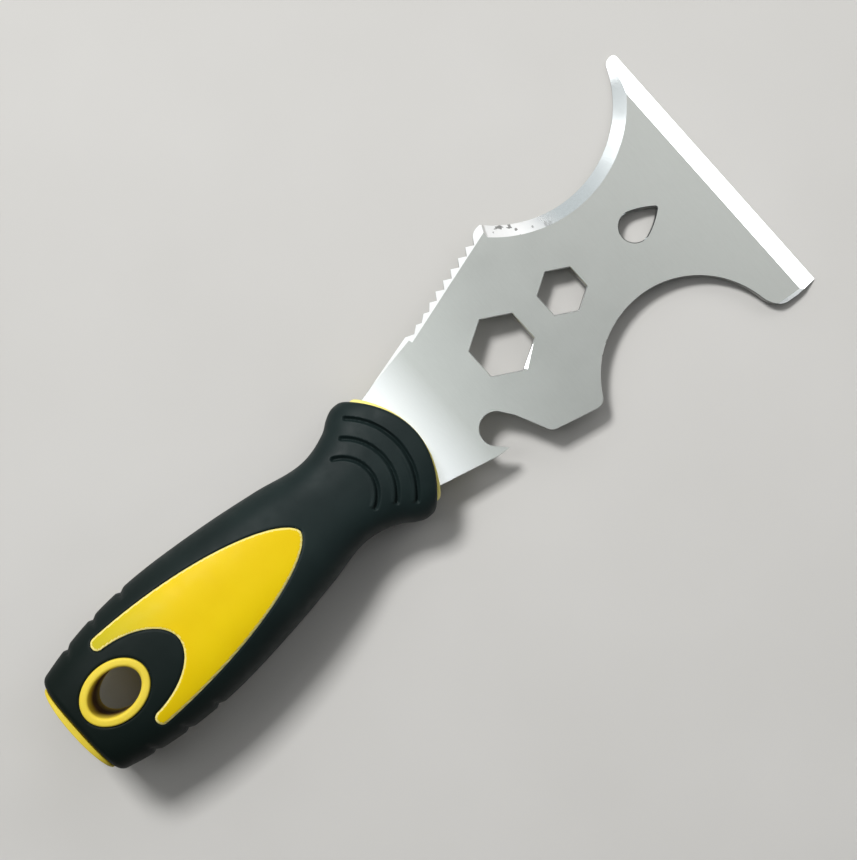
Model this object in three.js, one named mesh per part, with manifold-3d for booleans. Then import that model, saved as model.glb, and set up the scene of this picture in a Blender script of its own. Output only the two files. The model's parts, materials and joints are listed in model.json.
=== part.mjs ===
// Painters multi tool: a flat stainless blade with a scraper edge, roller arc, saw teeth, spanner
// holes, nail puller and bottle opener, held in a two-half core inside a soft rubber grip.
//
// Local frame of the tool, in millimetres: x runs from the butt of the handle to the scraper edge,
// +y is the side with the saw teeth, and z = 0 is the middle of the blade's thickness.
// The last group lays the tool down: its belly and its scraper edge rest on z = 0.

import * as THREE from 'three';
import { mergeVertices } from 'three/addons/utils/BufferGeometryUtils.js';
import Module from 'manifold-3d';

const wasm = await Module();
wasm.setup();

// ---------- driving dimensions ----------

// The scraper edge; the butt's bulge starts a little ahead of x = 0.
const edgeX = 195.3;
const clearance = 0.3;
const farAbove = 20;

const blade = {
  thickness: 1.8,
  edgeWidth: 70,
  featureLineY: 1.8,
  tangHalfWidth: 8,
  tangStart: 30,
  tangCorner: 2,
  shoulderX: 96,
  neckHalfWidth: 13.9,
};
const topFace = blade.thickness / 2;

// Corners of the blade's outline, from the neck round the opener to the hook, and the upper edge.
const corner = {
  neckOpenerSide: [96, -12.2],
  neckBend: [112.6, -16.6],
  openerRearLip: [115.9, -16.9],
  openerTooth: [121.7, -12.2],
  openerHeel: [125.1, -19.3],
  heelRound: [125.6, -20.5],
  flankStart: [126.9, -20.9],
  flankEnd: [136.4, -23.5],
  flankRound: [138.6, -24.1],
  hookRound: [183.6, -34],
  hookRear: [186.8, -34.7],
  hookFront: [189.5, -35],
  tipRound: [192.6, 35],
  toothRound: [142.9, 25.9],
  neckTeethSide: [96, 13.05],
};
const tipFlat = { height: 0.8, length: 1.2, round: 0.3 };

const frontBevel = { width: 4.5, slope: 0.33 };
const rollerArc = { x: 165.8, y: 45.2, radius: 28.5, bevelWidth: 3, lipHeight: 0.35, bevelEnd: 144.2 };
const smallRollerArc = { x: 159.8, y: -34, radius: 23.25 };
const bottleOpener = { x: 116.4, y: -11.65, radius: 3.95 };
const bigHexagon = { x: 130.1, acrossFlats: 13.2 };
const smallHexagon = { x: 148.8, acrossFlats: 10.1 };
const nailPuller = {
  x: 171.4,
  radius: 3.7,
  touchAngle: 70,
  belly: 175.5,
  bellyHalf: 2.45,
  nose: 178,
  noseHalf: 0.5,
  apex: 178.8,
};
const teeth = {
  count: 10,
  first: new THREE.Vector2(114.9, 17.7),
  last: new THREE.Vector2(141.8, 24.6),
  depth: 1.3,
  gulletShare: 0.52,
  sharpFrom: 4,
  sharpTip: { along: 0.25, inward: -0.15 },
  wornTip: { along: 0.6, inward: 0.45 },
};
const toothBevel = { rearWidth: 2, frontWidth: 1.4, slope: 0.7, rearOverrun: 0.3, frontOverrun: 4 };
const neckBevel = { rear: new THREE.Vector2(100, 14.1), front: new THREE.Vector2(115.7, 16.7), slope: 0.7 };
const hookBevel = {
  front: new THREE.Vector2(196, -34.9),
  rear: new THREE.Vector2(184.5, -33.5),
  slope: 0.35,
};
const bevelReach = 6;

// Sections of the grip: place along the tool, half-width, half-thickness.
const gripSections = [
  { x: 3.4, halfWidth: 13.3, halfHeight: 9.4 },
  { x: 12, halfWidth: 15.3, halfHeight: 10.7 },
  { x: 22, halfWidth: 16.7, halfHeight: 11.6 },
  { x: 34, halfWidth: 17.05, halfHeight: 12.4 },
  { x: 52, halfWidth: 15.5, halfHeight: 13.1 },
  { x: 66, halfWidth: 13.45, halfHeight: 11.5 },
  { x: 77.5, halfWidth: 11.45, halfHeight: 9.1 },
  { x: 84, halfWidth: 13.3, halfHeight: 8.85 },
  { x: 88, halfWidth: 15.35, halfHeight: 8.95 },
  { x: 91.5, halfWidth: 16.45, halfHeight: 9.2 },
  { x: 94, halfWidth: 16.4, halfHeight: 9.1 },
];
// The handle's middle lies a little to the +y side at the rear and less so at the bolster.
const handleCentre = { rearY: 0.5, frontY: 0.1, start: 70, end: 90 };
const squareness = 2.7;
const gripWall = 2.5;
const gripRearRound = 1.5;
const gripFrontRound = 0.8;
const crown = { depth: 7.7, start: 71, end: 94, span: 16.2 };

const gripGrooves = [
  { radius: 17.1, halfAngle: 46 },
  { radius: 12.6, halfAngle: 49 },
  { radius: 8.2, halfAngle: 62 },
];
const grooveCentre = { x: 79.9, y: 0.5 };
const grooveWidth = 1.1;
const grooveDepth = 0.8;
const thumbNotches = { places: [12, 20.5, 29], width: 2.6, depth: 0.6, halfHeight: 7 };

const inlay = {
  centreY: 0.9,
  halfSpan: 12.2,
  tip: 67.9,
  tipY: 0.55,
  tipHalf: 5.5,
  bellyX: 45.5,
  legEnd: 18.8,
  legRadius: 1.5,
  lobeApex: 33,
  lobeHalf: 4.8,
  lobeRear: 26,
  proud: 0.2,
};
const hangHole = { x: 14.9, y: 1.15, halfLength: 6.6, halfWidth: 4.6, rim: 1.95, proud: 0.5 };

const core = { rearX: 4.9, frontX: 90.2, wall: 2.4, round: 0.9, partingGap: 0.15 };
const coreCavity = { rearX: 31, frontX: 87, ribThickness: 1.8, ribs: [40, 57, 67] };
const bossRadius = 4;
const pins = { radius: 2, halfLength: 4.6, chamfer: 0.4, places: { front: 79, rear: 48 } };
const pegs = { x: 29, y: 10.3, radius: 1.5, length: 3 };

const collar = { rearX: 92.2, frontX: 95.5, halfWidth: 15, halfHeight: 6.9, depth: 6.4, round: 0.5 };
const buttPlate = { rearX: 3.38, bulge: 1.73, frontX: 3.1, halfWidth: 11.5, halfHeight: 7.8, round: 0.25 };
const spigot = { rearX: 2.4, frontX: 4.6, inset: 3, round: 0.3 };

// ---------- materials ----------

const materials = {
  steel: new THREE.MeshStandardMaterial({ color: 0xc4c6c1, metalness: 1, roughness: 0.35 }),
  pinSteel: new THREE.MeshStandardMaterial({ color: 0x9a9c9c, metalness: 1, roughness: 0.45 }),
  rubber: new THREE.MeshStandardMaterial({ color: 0x262f31, metalness: 0, roughness: 0.75 }),
  yellowPlastic: new THREE.MeshStandardMaterial({ color: 0xf2cf1d, metalness: 0, roughness: 0.45 }),
};

// ---------- solids ----------

function toSolid(geometry) {
  const bare = geometry.clone();
  bare.deleteAttribute('normal');
  bare.deleteAttribute('uv');
  const merged = mergeVertices(bare, 1e-4);
  return new wasm.Manifold(new wasm.Mesh({
    numProp: 3,
    vertProperties: new Float32Array(merged.attributes.position.array),
    triVerts: new Uint32Array(merged.index.array),
  }));
}

function namedMesh(name, solid, material) {
  const { vertProperties, triVerts } = solid.getMesh();
  const geometry = new THREE.BufferGeometry();
  geometry.setAttribute('position', new THREE.BufferAttribute(vertProperties, 3));
  geometry.setIndex(new THREE.BufferAttribute(triVerts, 1));
  geometry.computeVertexNormals();
  const mesh = new THREE.Mesh(geometry, material);
  mesh.name = name;
  return mesh;
}

// A plan outline made into a solid that reaches from z = low to z = high.
function prism(shape, low, high, curveSegments = 12) {
  const settings = { depth: high - low, bevelEnabled: false, curveSegments };
  return toSolid(new THREE.ExtrudeGeometry(shape, settings).translate(0, 0, low));
}

function polygon(points) {
  return new THREE.Shape(points.map(([x, y]) => new THREE.Vector2(x, y)));
}

function box(low, high) {
  const size = high.map((value, axis) => value - low[axis]);
  const middle = high.map((value, axis) => (value + low[axis]) / 2);
  return toSolid(new THREE.BoxGeometry(...size).translate(...middle));
}

function cylinder(x, y, radius, low, high, segments = 32) {
  const upright = new THREE.CylinderGeometry(radius, radius, high - low, segments);
  return toSolid(upright.rotateX(Math.PI / 2).translate(x, y, (low + high) / 2));
}

function ellipse(x, y, halfLength, halfWidth) {
  const shape = new THREE.Shape();
  shape.absellipse(x, y, halfLength, halfWidth, 0, 2 * Math.PI);
  return shape;
}

// ---------- handle surface ----------

const gripLine = new THREE.CatmullRomCurve3(
  gripSections.map(({ x, halfWidth, halfHeight }) => new THREE.Vector3(x, halfWidth, halfHeight)),
  false,
  'centripetal',
);

// Section of the grip at a place along the tool, found by halving along the line of sections.
function sectionAt(x) {
  let low = 0;
  let high = 1;
  for (let step = 0; step < 30; step += 1) {
    const middle = (low + high) / 2;
    if (gripLine.getPoint(middle).x < x) low = middle;
    else high = middle;
  }
  const point = gripLine.getPoint(low);
  return { x, halfWidth: point.y, halfHeight: point.z };
}

function centreYAt(x) {
  const { rearY, frontY, start, end } = handleCentre;
  return THREE.MathUtils.lerp(rearY, frontY, THREE.MathUtils.smoothstep(x, start, end));
}

function crownAt(x) {
  return crown.depth * THREE.MathUtils.smoothstep(x, crown.start, crown.end);
}

// One rounded oblong ring across the tool, its middle pushed forward by the crown.
function ring({ x, halfWidth, halfHeight }, sides, forward) {
  const centreY = centreYAt(x);
  const points = [];
  for (let side = 0; side < sides; side += 1) {
    const angle = (side / sides) * 2 * Math.PI;
    const power = 2 / squareness;
    const y = halfWidth * Math.sign(Math.cos(angle)) * Math.abs(Math.cos(angle)) ** power;
    const z = halfHeight * Math.sign(Math.sin(angle)) * Math.abs(Math.sin(angle)) ** power;
    points.push(new THREE.Vector3(x + forward * (1 - (y / crown.span) ** 2), centreY + y, z));
  }
  return points;
}

// Solid through a row of rings; both ends close on a point in the middle of the handle.
function loft(rings, rearTipX, frontTipX) {
  const sides = rings[0].length;
  const tips = [rearTipX, frontTipX].map((x) => new THREE.Vector3(x, centreYAt(x), 0));
  const points = rings.flat().concat(tips);
  const rearIndex = points.length - 2;
  const frontIndex = points.length - 1;
  const faces = [];
  for (let side = 0; side < sides; side += 1) {
    const next = (side + 1) % sides;
    for (let row = 0; row + 1 < rings.length; row += 1) {
      const here = row * sides;
      const ahead = here + sides;
      faces.push(here + side, here + next, ahead + next);
      faces.push(here + side, ahead + next, ahead + side);
    }
    const lastRow = (rings.length - 1) * sides;
    faces.push(rearIndex, next, side);
    faces.push(frontIndex, lastRow + side, lastRow + next);
  }
  const geometry = new THREE.BufferGeometry().setFromPoints(points);
  geometry.setIndex(faces);
  return toSolid(geometry);
}

// The handle's outer form moved inwards by inset, between two places, with rounded ends.
function handleForm({ inset, rear, front, rearRound, frontRound, sides, step, roundSteps }) {
  const sections = [];
  const addSection = (x, extra) => {
    const { halfWidth, halfHeight } = sectionAt(x);
    sections.push({ x, halfWidth: halfWidth - inset - extra, halfHeight: halfHeight - inset - extra });
  };
  for (let turn = roundSteps; turn > 0; turn -= 1) {
    const angle = (turn / roundSteps) * (Math.PI / 2);
    addSection(rear + rearRound * (1 - Math.sin(angle)), rearRound * (1 - Math.cos(angle)));
  }
  const straightRows = Math.round((front - frontRound - rear - rearRound) / step);
  for (let row = 0; row <= straightRows; row += 1) {
    const share = row / straightRows;
    addSection(THREE.MathUtils.lerp(rear + rearRound, front - frontRound, share), 0);
  }
  for (let turn = 1; turn <= roundSteps; turn += 1) {
    const angle = (turn / roundSteps) * (Math.PI / 2);
    addSection(front - frontRound * (1 - Math.sin(angle)), frontRound * (1 - Math.cos(angle)));
  }
  const last = sections.at(-1);
  for (const share of [0.7, 0.35]) {
    sections.push({ x: front, halfWidth: last.halfWidth * share, halfHeight: last.halfHeight * share });
  }
  const rings = sections.map((section) => ring(section, sides, crownAt(section.x)));
  return loft(rings, rear, front + crownAt(front));
}

function outerForm(inset) {
  return handleForm({
    inset,
    rear: gripSections[0].x + Math.max(inset, 0),
    front: gripSections.at(-1).x - Math.max(inset, 0),
    rearRound: gripRearRound,
    frontRound: gripFrontRound,
    sides: 40,
    step: 4,
    roundSteps: 3,
  });
}

// Plainer forms inside the handle: the room in the rubber, the core, and the hollow in the core.
function innerForm(inset, rear, front) {
  return handleForm({
    inset,
    rear,
    front,
    rearRound: core.round,
    frontRound: core.round,
    sides: 24,
    step: 4,
    roundSteps: 1,
  });
}

// ---------- plan outlines on the handle ----------

// Leaf-shaped window over the core with two legs that reach back on both sides of the hang hole.
function inlayOutline(margin) {
  const { centreY, tipY, bellyX, legEnd, lobeHalf, lobeRear } = inlay;
  const legRadius = inlay.legRadius + margin;
  const outer = inlay.halfSpan + margin;
  const inner = outer - 2 * legRadius;
  const leg = outer - legRadius;
  const tipHalf = inlay.tipHalf + margin;
  const front = inlay.tip + margin;
  const apex = inlay.lobeApex - margin;
  const quarter = Math.PI / 2;
  const shape = new THREE.Shape();
  shape.moveTo(legEnd, centreY - outer);
  shape.bezierCurveTo(bellyX, centreY - outer - 0.1, front - 0.9, tipY - tipHalf, front, tipY);
  shape.bezierCurveTo(front - 0.9, tipY + tipHalf, bellyX, centreY + outer + 0.1, legEnd, centreY + outer);
  shape.absarc(legEnd, centreY + leg, legRadius, quarter, 3 * quarter, false);
  shape.bezierCurveTo(lobeRear, centreY + inner - 0.5, apex, centreY + lobeHalf, apex, centreY);
  shape.bezierCurveTo(apex, centreY - lobeHalf, lobeRear, centreY - inner + 0.5, legEnd, centreY - inner);
  shape.absarc(legEnd, centreY - leg, legRadius, quarter, 3 * quarter, false);
  return shape;
}

function hangHoleOval(extra) {
  return ellipse(hangHole.x, hangHole.y, hangHole.halfLength + extra, hangHole.halfWidth + extra);
}

// Curved slot with round ends for one groove across the bolster.
function grooveOutline({ radius, halfAngle }) {
  const { x, y } = grooveCentre;
  const half = grooveWidth / 2;
  const end = THREE.MathUtils.degToRad(halfAngle);
  const endX = x + radius * Math.cos(end);
  const endY = radius * Math.sin(end);
  const shape = new THREE.Shape();
  shape.absarc(x, y, radius + half, -end, end, false);
  shape.absarc(endX, y + endY, half, end, end + Math.PI, false);
  shape.absarc(x, y, radius - half, end, -end, true);
  shape.absarc(endX, y - endY, half, Math.PI - end, 2 * Math.PI - end, false);
  return shape;
}

// ---------- rubber grip ----------

function thumbNotch(x, side) {
  const { width, depth, halfHeight } = thumbNotches;
  const surface = sectionAt(x).halfWidth;
  const outside = surface + 1;
  const points = [[x - width / 2, outside], [x, surface - depth], [x + width / 2, outside]];
  const placed = points.map(([px, py]) => [px, centreYAt(x) + py * side]);
  return prism(polygon(placed), -halfHeight, halfHeight);
}

function makeGrip(collarRoom) {
  const inside = innerForm(gripWall, core.rearX - clearance, collar.rearX + clearance);
  let grip = outerForm(0).subtract(inside).subtract(bladeRoom());
  grip = grip.subtract(prism(inlayOutline(clearance), -farAbove, farAbove));
  grip = grip.subtract(prism(hangHoleOval(hangHole.rim + clearance), -farAbove, farAbove, 12));
  const floorOfGrooves = outerForm(grooveDepth);
  for (const groove of gripGrooves) {
    grip = grip.subtract(prism(grooveOutline(groove), -farAbove, farAbove, 7).subtract(floorOfGrooves));
  }
  for (const x of thumbNotches.places) {
    grip = grip.subtract(thumbNotch(x, 1)).subtract(thumbNotch(x, -1));
  }
  return grip.subtract(collarRoom).subtract(spigotForm(clearance));
}

// ---------- core halves ----------

function coreOutside() {
  const body = innerForm(gripWall + clearance, core.rearX, core.frontX);
  const land = outerForm(-inlay.proud).intersect(prism(inlayOutline(0), -farAbove, farAbove));
  return body.add(land);
}

// The hollow inside the core, with ribs, pin bosses and peg bosses left standing.
function coreHollow() {
  let hollow = innerForm(gripWall + clearance + core.wall, coreCavity.rearX, coreCavity.frontX);
  for (const x of coreCavity.ribs) {
    const half = coreCavity.ribThickness / 2;
    hollow = hollow.subtract(box([x - half, -farAbove, -farAbove], [x + half, farAbove, farAbove]));
  }
  for (const x of Object.values(pins.places)) {
    hollow = hollow.subtract(cylinder(x, 0, bossRadius, -farAbove, farAbove, 12));
  }
  return hollow;
}

function bladeRoom() {
  const halfHeight = topFace + clearance;
  const tang = box(
    [blade.tangStart - clearance, -blade.tangHalfWidth - clearance, -halfHeight],
    [blade.shoulderX, blade.tangHalfWidth + clearance, halfHeight],
  );
  const neckRear = blade.shoulderX - clearance;
  const low = [neckRear, handleCentre.frontY - blade.neckHalfWidth, -halfHeight];
  return tang.add(box(low, [edgeX, handleCentre.frontY + blade.neckHalfWidth, halfHeight]));
}

function makeCoreHalf(side) {
  const parting = core.partingGap;
  const keep = side > 0
    ? box([0, -farAbove, parting], [edgeX, farAbove, farAbove])
    : box([0, -farAbove, -farAbove], [edgeX, farAbove, -parting]);
  let half = coreOutside().subtract(coreHollow()).intersect(keep);
  half = half.subtract(bladeRoom());
  half = half.subtract(prism(hangHoleOval(hangHole.rim + clearance), -farAbove, farAbove, 12));
  for (const x of Object.values(pins.places)) {
    const reach = pins.halfLength + clearance;
    half = half.subtract(cylinder(x, 0, pins.radius + clearance, -reach, reach, 24));
  }
  for (const y of [-pegs.y, pegs.y]) {
    if (side > 0) half = half.add(cylinder(pegs.x, y, pegs.radius, -pegs.length, 1, 16));
    else half = half.subtract(cylinder(pegs.x, y, pegs.radius + clearance, -pegs.length - clearance, 1, 16));
  }
  return half;
}

// ---------- small handle parts ----------

function makeSleeve() {
  const outer = prism(hangHoleOval(hangHole.rim), -farAbove, farAbove, 20);
  const inner = prism(hangHoleOval(0), -farAbove, farAbove, 20);
  return outer.intersect(outerForm(-hangHole.proud)).subtract(inner);
}

// Plate across the tool with a rounded rim; bulge pushes its middle forward, or back if negative.
function curvedPlate({ rearX, frontX, halfWidth, halfHeight, rearBulge, frontBulge, round }) {
  const sides = 32;
  const rows = [
    { x: rearX, shrink: round, bulge: rearBulge },
    { x: rearX + round, shrink: 0, bulge: rearBulge },
    { x: frontX - round, shrink: 0, bulge: frontBulge },
    { x: frontX, shrink: round, bulge: frontBulge },
  ];
  const makeRing = ({ x, shrink, bulge }, share = 1) => ring(
    { x, halfWidth: (halfWidth - shrink) * share, halfHeight: (halfHeight - shrink) * share },
    sides,
    bulge,
  );
  const rings = [
    makeRing(rows[0], 0.35),
    makeRing(rows[0], 0.7),
    ...rows.map((row) => makeRing(row)),
    makeRing(rows[3], 0.7),
    makeRing(rows[3], 0.35),
  ];
  return loft(rings, rearX + rearBulge, frontX + frontBulge);
}

function collarForm(margin) {
  return curvedPlate({
    rearX: collar.rearX - margin,
    frontX: collar.frontX + (margin > 0 ? farAbove : 0),
    halfWidth: collar.halfWidth + margin,
    halfHeight: collar.halfHeight + margin,
    rearBulge: collar.depth,
    frontBulge: collar.depth,
    round: collar.round,
  });
}

function makeCollar() {
  return collarForm(0).subtract(bladeRoom());
}

function spigotForm(margin) {
  return curvedPlate({
    rearX: spigot.rearX,
    frontX: spigot.frontX + (margin > 0 ? 1 : 0),
    halfWidth: buttPlate.halfWidth - spigot.inset + margin,
    halfHeight: buttPlate.halfHeight - spigot.inset + margin,
    rearBulge: 0,
    frontBulge: 0,
    round: spigot.round,
  });
}

function makeButtPlate() {
  const { rearX, frontX, halfWidth, halfHeight, bulge, round } = buttPlate;
  const plate = curvedPlate({
    rearX, frontX, halfWidth, halfHeight, rearBulge: -bulge, frontBulge: 0, round,
  });
  return plate.add(spigotForm(0));
}

function makePin() {
  const { radius, halfLength, chamfer } = pins;
  const profile = [
    [0, -halfLength], [radius - chamfer, -halfLength], [radius, -halfLength + chamfer],
    [radius, halfLength - chamfer], [radius - chamfer, halfLength], [0, halfLength],
  ];
  const points = profile.map(([across, along]) => new THREE.Vector2(across, along));
  return toSolid(new THREE.LatheGeometry(points, 24).rotateX(Math.PI / 2));
}

// ---------- blade ----------

// Moves one tip of the row: the rearmost teeth are worn lower, and both ends are plain corners.
function shiftTip(tip, tooth, along, inward) {
  if (tooth === 0 || tooth === teeth.count - 1) return tip;
  const wear = THREE.MathUtils.clamp((teeth.sharpFrom - tooth) / 2, 0, 1);
  const alongShift = THREE.MathUtils.lerp(teeth.sharpTip.along, teeth.wornTip.along, wear);
  const inwardShift = THREE.MathUtils.lerp(teeth.sharpTip.inward, teeth.wornTip.inward, wear);
  return tip.clone().addScaledVector(along, alongShift).addScaledVector(inward, inwardShift);
}

// Saw teeth from the front of the row to the back, as tips with a gullet behind each.
function toothPoints() {
  const along = teeth.last.clone().sub(teeth.first);
  const pitch = along.length() / (teeth.count - 1);
  along.normalize();
  const inward = new THREE.Vector2(along.y, -along.x);
  const points = [];
  for (let tooth = teeth.count - 1; tooth >= 0; tooth -= 1) {
    const tip = teeth.first.clone().addScaledVector(along, tooth * pitch);
    points.push(shiftTip(tip, tooth, along, inward));
    if (tooth > 0) {
      const gullet = tip.clone().addScaledVector(along, (teeth.gulletShare - 1) * pitch);
      points.push(gullet.addScaledVector(inward, teeth.depth));
    }
  }
  return points;
}

function pointOnArc({ x, y, radius }, degrees) {
  const angle = THREE.MathUtils.degToRad(degrees);
  return [x + radius * Math.cos(angle), y + radius * Math.sin(angle)];
}

function arcAlong(shape, { x, y, radius }, fromDegrees, toDegrees) {
  const from = THREE.MathUtils.degToRad(fromDegrees);
  shape.absarc(x, y, radius, from, THREE.MathUtils.degToRad(toDegrees), true);
}

// Outline of the blade, anticlockwise from the rear of the tang, back along the teeth.
function bladeOutline() {
  const { tangStart, tangHalfWidth, tangCorner, shoulderX, edgeWidth } = blade;
  const half = edgeWidth / 2;
  const shape = new THREE.Shape();
  shape.moveTo(tangStart + tangCorner, -tangHalfWidth);
  shape.lineTo(shoulderX, -tangHalfWidth);
  shape.lineTo(...corner.neckOpenerSide);
  shape.lineTo(...corner.neckBend);
  shape.lineTo(...corner.openerRearLip);
  shape.lineTo(...pointOnArc(bottleOpener, 219));
  arcAlong(shape, bottleOpener, 219, 38);
  shape.lineTo(...corner.openerTooth);
  shape.lineTo(...corner.openerHeel);
  shape.quadraticCurveTo(...corner.heelRound, ...corner.flankStart);
  shape.lineTo(...corner.flankEnd);
  shape.quadraticCurveTo(...corner.flankRound, ...pointOnArc(smallRollerArc, 150));
  arcAlong(shape, smallRollerArc, 150, 10);
  shape.quadraticCurveTo(...corner.hookRound, ...corner.hookRear);
  shape.lineTo(...corner.hookFront);
  shape.lineTo(edgeX, -half);
  shape.lineTo(edgeX, half - tipFlat.height);
  shape.quadraticCurveTo(edgeX - tipFlat.round, half, edgeX - tipFlat.length, half);
  shape.quadraticCurveTo(...corner.tipRound, ...pointOnArc(rollerArc, -23));
  arcAlong(shape, rollerArc, -23, -137);
  const [endTooth, ...otherPoints] = toothPoints();
  shape.quadraticCurveTo(...corner.toothRound, endTooth.x, endTooth.y);
  for (const point of otherPoints) shape.lineTo(point.x, point.y);
  shape.lineTo(...corner.neckTeethSide);
  shape.lineTo(shoulderX, tangHalfWidth);
  shape.lineTo(tangStart + tangCorner, tangHalfWidth);
  shape.quadraticCurveTo(tangStart, tangHalfWidth, tangStart, tangHalfWidth - tangCorner);
  shape.lineTo(tangStart, tangCorner - tangHalfWidth);
  shape.quadraticCurveTo(tangStart, -tangHalfWidth, tangStart + tangCorner, -tangHalfWidth);
  return shape;
}

function hexagonHole({ x, acrossFlats }) {
  const toCorner = acrossFlats / Math.sqrt(3);
  const points = [];
  for (let index = 0; index < 6; index += 1) {
    const angle = Math.PI / 2 + (index * Math.PI) / 3;
    points.push([x + toCorner * Math.cos(angle), blade.featureLineY + toCorner * Math.sin(angle)]);
  }
  return prism(polygon(points), -farAbove, farAbove);
}

// Round hole drawn out to a point at the front, with bowed flanks.
function nailPullerHole() {
  const { x, radius, touchAngle, belly, bellyHalf, nose, noseHalf, apex } = nailPuller;
  const y = blade.featureLineY;
  const touch = THREE.MathUtils.degToRad(touchAngle);
  const shape = new THREE.Shape();
  shape.absarc(x, y, radius, touch, 2 * Math.PI - touch, false);
  shape.quadraticCurveTo(belly, y - bellyHalf, nose, y - noseHalf);
  shape.quadraticCurveTo(apex, y, nose, y + noseHalf);
  shape.quadraticCurveTo(belly, y + bellyHalf, x + radius * Math.cos(touch), y + radius * Math.sin(touch));
  return prism(shape, -farAbove, farAbove, 20);
}

// Cone that bevels the roller arc, with a sloping end before it reaches the teeth.
function rollerArcCut() {
  const { x, y, radius, bevelWidth, lipHeight, bevelEnd } = rollerArc;
  const flare = bevelWidth / (blade.thickness - lipHeight);
  const low = -topFace;
  const high = topFace + 1;
  const lipZ = -topFace + lipHeight;
  const cone = new THREE.CylinderGeometry(
    radius + flare * (high - lipZ),
    radius + flare * (low - lipZ),
    high - low,
    96,
  );
  cone.rotateX(Math.PI / 2).translate(x, y, (low + high) / 2);
  return toSolid(cone).trimByPlane([1, 0, 1], (bevelEnd + topFace) / Math.SQRT2);
}

// Ground bevel on the top face: it starts on the line and falls away to the left of its direction.
function straightBevelCut(from, to, slope) {
  const along = to.clone().sub(from);
  const profile = polygon([[-1 / slope, 1], [bevelReach, -slope * bevelReach], [bevelReach, 1]]);
  const wedge = new THREE.ExtrudeGeometry(profile, { depth: along.length(), bevelEnabled: false });
  along.normalize();
  const basis = new THREE.Matrix4().makeBasis(
    new THREE.Vector3(-along.y, along.x, 0),
    new THREE.Vector3(0, 0, 1),
    new THREE.Vector3(along.x, along.y, 0),
  );
  return toSolid(wedge.applyMatrix4(basis.setPosition(from.x, from.y, topFace)));
}

function frontBevelCut() {
  const x = edgeX - frontBevel.width;
  const farSide = new THREE.Vector2(x, blade.edgeWidth);
  return straightBevelCut(farSide, farSide.clone().setY(-blade.edgeWidth), frontBevel.slope);
}

function toothBevelCut() {
  const { rearWidth, frontWidth, slope, rearOverrun, frontOverrun } = toothBevel;
  const along = teeth.last.clone().sub(teeth.first).normalize();
  const inward = new THREE.Vector2(along.y, -along.x);
  const rear = teeth.first.clone().addScaledVector(along, -rearOverrun);
  const front = teeth.last.clone().addScaledVector(along, frontOverrun);
  rear.addScaledVector(inward, rearWidth);
  front.addScaledVector(inward, frontWidth);
  return straightBevelCut(rear, front, slope);
}

function neckBevelCut() {
  return straightBevelCut(neckBevel.rear, neckBevel.front, neckBevel.slope);
}

function hookBevelCut() {
  return straightBevelCut(hookBevel.front, hookBevel.rear, hookBevel.slope);
}

function makeBlade() {
  let body = prism(bladeOutline(), -topFace, topFace, 32);
  for (const hole of [hexagonHole(bigHexagon), hexagonHole(smallHexagon), nailPullerHole()]) {
    body = body.subtract(hole);
  }
  for (const x of Object.values(pins.places)) {
    body = body.subtract(cylinder(x, 0, pins.radius + clearance, -farAbove, farAbove, 12));
  }
  const cuts = [frontBevelCut(), rollerArcCut(), toothBevelCut(), neckBevelCut(), hookBevelCut()];
  for (const cut of cuts) {
    body = body.subtract(cut);
  }
  return body;
}

// ---------- assembly ----------

// Lean of the tool when its belly and its scraper edge both touch a flat table.
function restingLean() {
  let lean = 0;
  for (let x = 10; x < collar.rearX; x += 0.5) {
    const proud = x < inlay.tip ? inlay.proud : 0;
    const depth = sectionAt(x).halfHeight + proud - topFace;
    lean = Math.max(lean, Math.atan(depth / (edgeX - x - crownAt(x))));
  }
  return lean;
}

const tool = new THREE.Group();
tool.add(namedMesh('blade', makeBlade(), materials.steel));
tool.add(namedMesh('grip_overmould', makeGrip(collarForm(clearance)), materials.rubber));
tool.add(namedMesh('core_top_half', makeCoreHalf(1), materials.yellowPlastic));
tool.add(namedMesh('core_bottom_half', makeCoreHalf(-1), materials.yellowPlastic));
tool.add(namedMesh('hang_hole_sleeve', makeSleeve(), materials.yellowPlastic));
tool.add(namedMesh('front_collar', makeCollar(), materials.yellowPlastic));
tool.add(namedMesh('butt_plate', makeButtPlate(), materials.yellowPlastic));
for (const [place, x] of Object.entries(pins.places)) {
  const pin = namedMesh(`tang_pin_${place}`, makePin(), materials.pinSteel);
  pin.position.x = x;
  tool.add(pin);
}
tool.rotation.y = restingLean();

const part = new THREE.Group();
part.add(tool);
const bounds = new THREE.Box3().setFromObject(part, true);
const middle = bounds.getCenter(new THREE.Vector3());
tool.position.set(-middle.x, -middle.y, -bounds.min.z);

export default part;
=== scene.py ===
import json
import math

import bmesh
import bpy
import numpy as np
from mathutils import Matrix, Vector


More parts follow.
